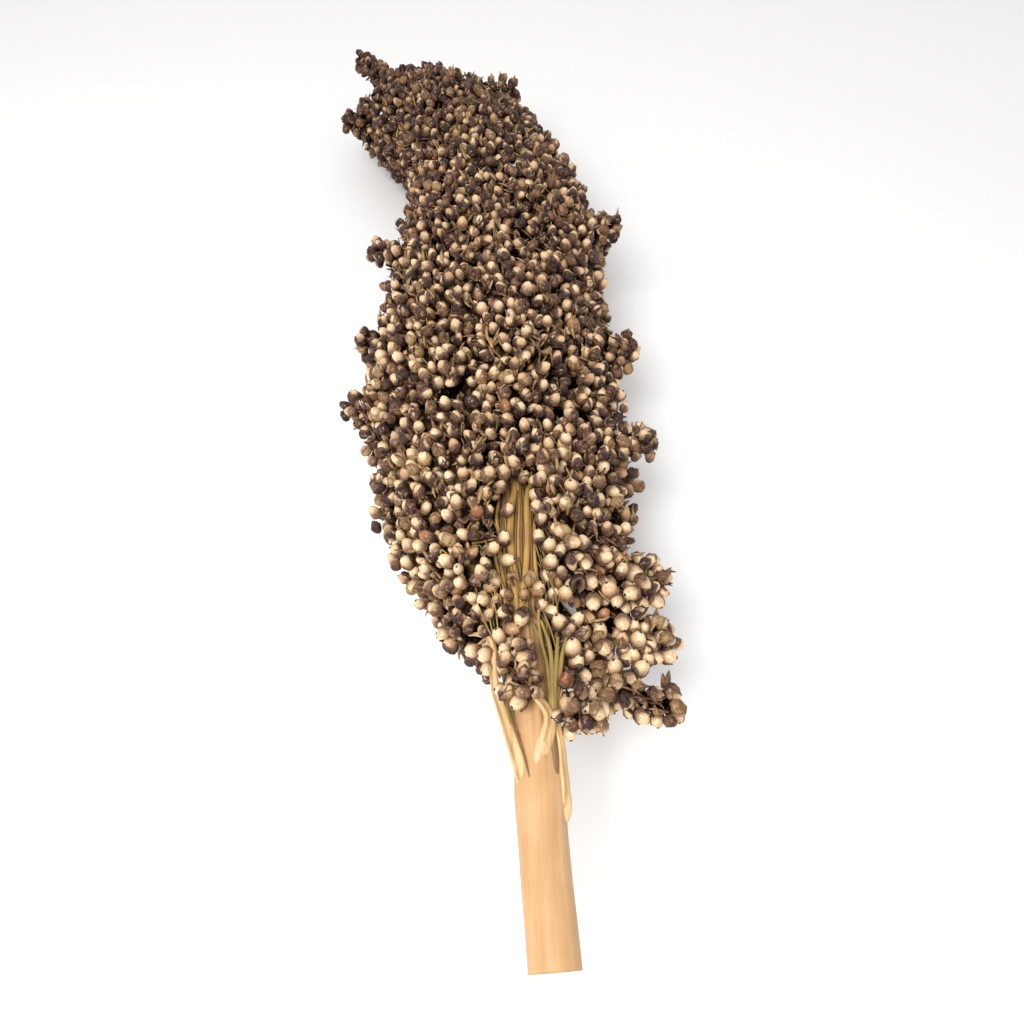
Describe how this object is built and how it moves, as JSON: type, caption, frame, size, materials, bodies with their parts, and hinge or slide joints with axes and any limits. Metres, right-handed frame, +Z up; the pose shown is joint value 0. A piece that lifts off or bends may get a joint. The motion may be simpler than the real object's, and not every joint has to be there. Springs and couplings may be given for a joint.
{
  "type": "sorghum seed head",
  "caption": "Dried sorghum seed head cut with a short stem, lying on its side: dense sprays of round cream seeds in dark husks on straw branches.",
  "frame": {"origin": "under the middle of the head, on the surface it lies on", "axes": "+Y from the cut stem towards the tip, +Z up, +X to the right when looking along +Y"},
  "size_m": [0.1216, 0.3742, 0.0596],
  "materials": {
    "straw": "dry straw stem, smooth with faint striations",
    "seeds": "cream seeds, satin",
    "husks": "dark brown husks, slightly glossy",
    "stalks": "thin olive straw stalks, dry",
    "inside": "dark husks and stalks deep in the head, matte"
  },
  "bodies": {
    "root": {"stem_and_branches": "straw", "spray_whorl1_1": "seeds", "spray_whorl1_2": "seeds", "spray_whorl1_3": "seeds", "spray_whorl1_4": "seeds", "spray_whorl1_5": "seeds", "spray_whorl2_1": "seeds", "spray_whorl2_2": "seeds", "spray_whorl2_3": "seeds", "spray_whorl2_4": "seeds", "spray_whorl2_5": "seeds", "spray_whorl2_6": "seeds", "spray_whorl3_1": "seeds", "spray_whorl3_2": "seeds", "spray_whorl3_3": "seeds", "spray_whorl3_4": "seeds", "spray_whorl3_5": "seeds", "spray_whorl3_6": "seeds", "spray_whorl4_1": "seeds", "spray_whorl4_2": "seeds", "spray_whorl4_3": "seeds", "spray_whorl4_4": "seeds", "spray_whorl4_5": "seeds", "spray_whorl5_1": "seeds", "spray_whorl5_2": "seeds", "spray_whorl5_3": "seeds", "spray_whorl5_4": "seeds", "spray_whorl5_5": "seeds", "spray_base_right_low": "seeds", "spray_base_hanging": "seeds", "spray_base_front": "seeds", "spray_tip": "seeds"}
  },
  "joints": []
}
